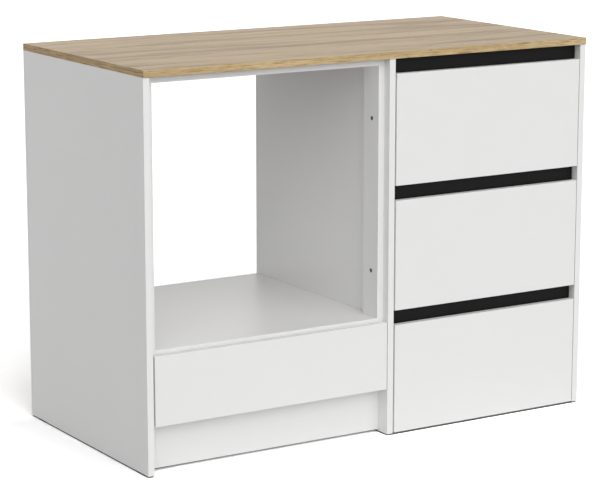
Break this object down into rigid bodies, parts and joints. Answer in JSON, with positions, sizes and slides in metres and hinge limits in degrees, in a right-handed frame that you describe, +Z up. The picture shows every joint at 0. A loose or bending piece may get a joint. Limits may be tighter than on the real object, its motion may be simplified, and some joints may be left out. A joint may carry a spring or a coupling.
{
  "type": "oven cabinet",
  "caption": "Lower kitchen cabinet with an open bay for a built-in oven, a low drawer under it, a bank of handleless drawers beside it and an oak-look worktop.",
  "frame": {"origin": "on the floor under the centre of the worktop", "axes": "+X to the right along the fronts, -Y is the side that the fronts face, +Z up"},
  "size_m": [1.2, 0.6, 0.904],
  "materials": {
    "oak_worktop": "oak look laminate, fine matt grain along X",
    "white_board": "white melamine faced board, satin",
    "drawer_board": "white melamine faced board, matt",
    "thin_panel": "white lacquered thin fibreboard",
    "black_rail": "black melamine faced board, matt",
    "glide": "black moulded plastic",
    "fittings": "zinc plated",
    "dowel": "fluted beech",
    "runner": "white powder coat",
    "roller": "white moulded plastic"
  },
  "bodies": {
    "cabinet": {"worktop": "oak_worktop", "left_upright": "white_board", "middle_upright": "white_board", "right_upright": "white_board", "oven_shelf": "white_board", "low_base": "white_board", "bank_base": "white_board", "plinth": "white_board", "front_rail": "white_board", "rear_rail": "white_board", "bank_rear_rail": "white_board", "left_filler": "white_board", "right_filler": "white_board", "top_grip_rail": "black_rail", "middle_grip_rail": "black_rail", "bottom_grip_rail": "black_rail", "bank_back_panel": "thin_panel", "low_back_panel": "thin_panel", "glides": "glide", "cam_fittings": "fittings", "dowels": "dowel", "assembly_screws": "fittings", "cabinet_runners": "runner", "runner_screws": "fittings"},
    "top_drawer": {"top_drawer_front": "white_board", "top_drawer_left_side": "drawer_board", "top_drawer_right_side": "drawer_board", "top_drawer_back": "drawer_board", "top_drawer_bottom": "thin_panel", "top_drawer_runners": "runner", "top_drawer_fittings": "fittings"},
    "top_drawer_rollers": {"top_drawer_rollers": "roller"},
    "top_drawer_guide_rollers": {"top_drawer_guide_rollers": "roller"},
    "middle_drawer": {"middle_drawer_front": "white_board", "middle_drawer_left_side": "drawer_board", "middle_drawer_right_side": "drawer_board", "middle_drawer_back": "drawer_board", "middle_drawer_bottom": "thin_panel", "middle_drawer_runners": "runner", "middle_drawer_fittings": "fittings"},
    "middle_drawer_rollers": {"middle_drawer_rollers": "roller"},
    "middle_drawer_guide_rollers": {"middle_drawer_guide_rollers": "roller"},
    "bottom_drawer": {"bottom_drawer_front": "white_board", "bottom_drawer_left_side": "drawer_board", "bottom_drawer_right_side": "drawer_board", "bottom_drawer_back": "drawer_board", "bottom_drawer_bottom": "thin_panel", "bottom_drawer_runners": "runner", "bottom_drawer_fittings": "fittings"},
    "bottom_drawer_rollers": {"bottom_drawer_rollers": "roller"},
    "bottom_drawer_guide_rollers": {"bottom_drawer_guide_rollers": "roller"},
    "oven_drawer": {"oven_drawer_front": "white_board", "oven_drawer_left_side": "drawer_board", "oven_drawer_right_side": "drawer_board", "oven_drawer_back": "drawer_board", "oven_drawer_bottom": "thin_panel", "oven_drawer_runners": "runner", "oven_drawer_fittings": "fittings"},
    "oven_drawer_rollers": {"oven_drawer_rollers": "roller"},
    "oven_drawer_guide_rollers": {"oven_drawer_guide_rollers": "roller"}
  },
  "joints": [
    {"name": "top_drawer_slide", "type": "slide", "parent": "cabinet", "child": "top_drawer", "axis": [0, -1, 0], "range_m": [0, 0.4]},
    {"name": "top_drawer_guide_rollers_turn", "type": "hinge", "parent": "cabinet", "child": "top_drawer_guide_rollers", "pos_m": [0.317, -0.266, 0.6368], "axis": [1, 0, 0], "continuous": true},
    {"name": "top_drawer_rollers_turn", "type": "hinge", "parent": "top_drawer", "child": "top_drawer_rollers", "pos_m": [0.317, 0.206, 0.6368], "axis": [1, 0, 0], "continuous": true},
    {"name": "middle_drawer_slide", "type": "slide", "parent": "cabinet", "child": "middle_drawer", "axis": [0, -1, 0], "range_m": [0, 0.4]},
    {"name": "middle_drawer_guide_rollers_turn", "type": "hinge", "parent": "cabinet", "child": "middle_drawer_guide_rollers", "pos_m": [0.317, -0.266, 0.3423], "axis": [1, 0, 0], "continuous": true},
    {"name": "middle_drawer_rollers_turn", "type": "hinge", "parent": "middle_drawer", "child": "middle_drawer_rollers", "pos_m": [0.317, 0.206, 0.3423], "axis": [1, 0, 0], "continuous": true},
    {"name": "bottom_drawer_slide", "type": "slide", "parent": "cabinet", "child": "bottom_drawer", "axis": [0, -1, 0], "range_m": [0, 0.4]},
    {"name": "bottom_drawer_guide_rollers_turn", "type": "hinge", "parent": "cabinet", "child": "bottom_drawer_guide_rollers", "pos_m": [0.317, -0.266, 0.0478], "axis": [1, 0, 0], "continuous": true},
    {"name": "bottom_drawer_rollers_turn", "type": "hinge", "parent": "bottom_drawer", "child": "bottom_drawer_rollers", "pos_m": [0.317, 0.206, 0.0478], "axis": [1, 0, 0], "continuous": true},
    {"name": "oven_drawer_slide", "type": "slide", "parent": "cabinet", "child": "oven_drawer", "axis": [0, -1, 0], "range_m": [0, 0.4]},
    {"name": "oven_drawer_guide_rollers_turn", "type": "hinge", "parent": "cabinet", "child": "oven_drawer_guide_rollers", "pos_m": [-0.275, -0.266, 0.1478], "axis": [1, 0, 0], "continuous": true},
    {"name": "oven_drawer_rollers_turn", "type": "hinge", "parent": "oven_drawer", "child": "oven_drawer_rollers", "pos_m": [-0.275, 0.206, 0.1478], "axis": [1, 0, 0], "continuous": true}
  ],
  "couplings": [
    {"joint": "top_drawer_guide_rollers_turn", "follows": "top_drawer_slide", "rad_per_m": 142.86},
    {"joint": "top_drawer_rollers_turn", "follows": "top_drawer_slide", "rad_per_m": 142.86},
    {"joint": "middle_drawer_guide_rollers_turn", "follows": "middle_drawer_slide", "rad_per_m": 142.86},
    {"joint": "middle_drawer_rollers_turn", "follows": "middle_drawer_slide", "rad_per_m": 142.86},
    {"joint": "bottom_drawer_guide_rollers_turn", "follows": "bottom_drawer_slide", "rad_per_m": 142.86},
    {"joint": "bottom_drawer_rollers_turn", "follows": "bottom_drawer_slide", "rad_per_m": 142.86},
    {"joint": "oven_drawer_guide_rollers_turn", "follows": "oven_drawer_slide", "rad_per_m": 142.86},
    {"joint": "oven_drawer_rollers_turn", "follows": "oven_drawer_slide", "rad_per_m": 142.86}
  ]
}
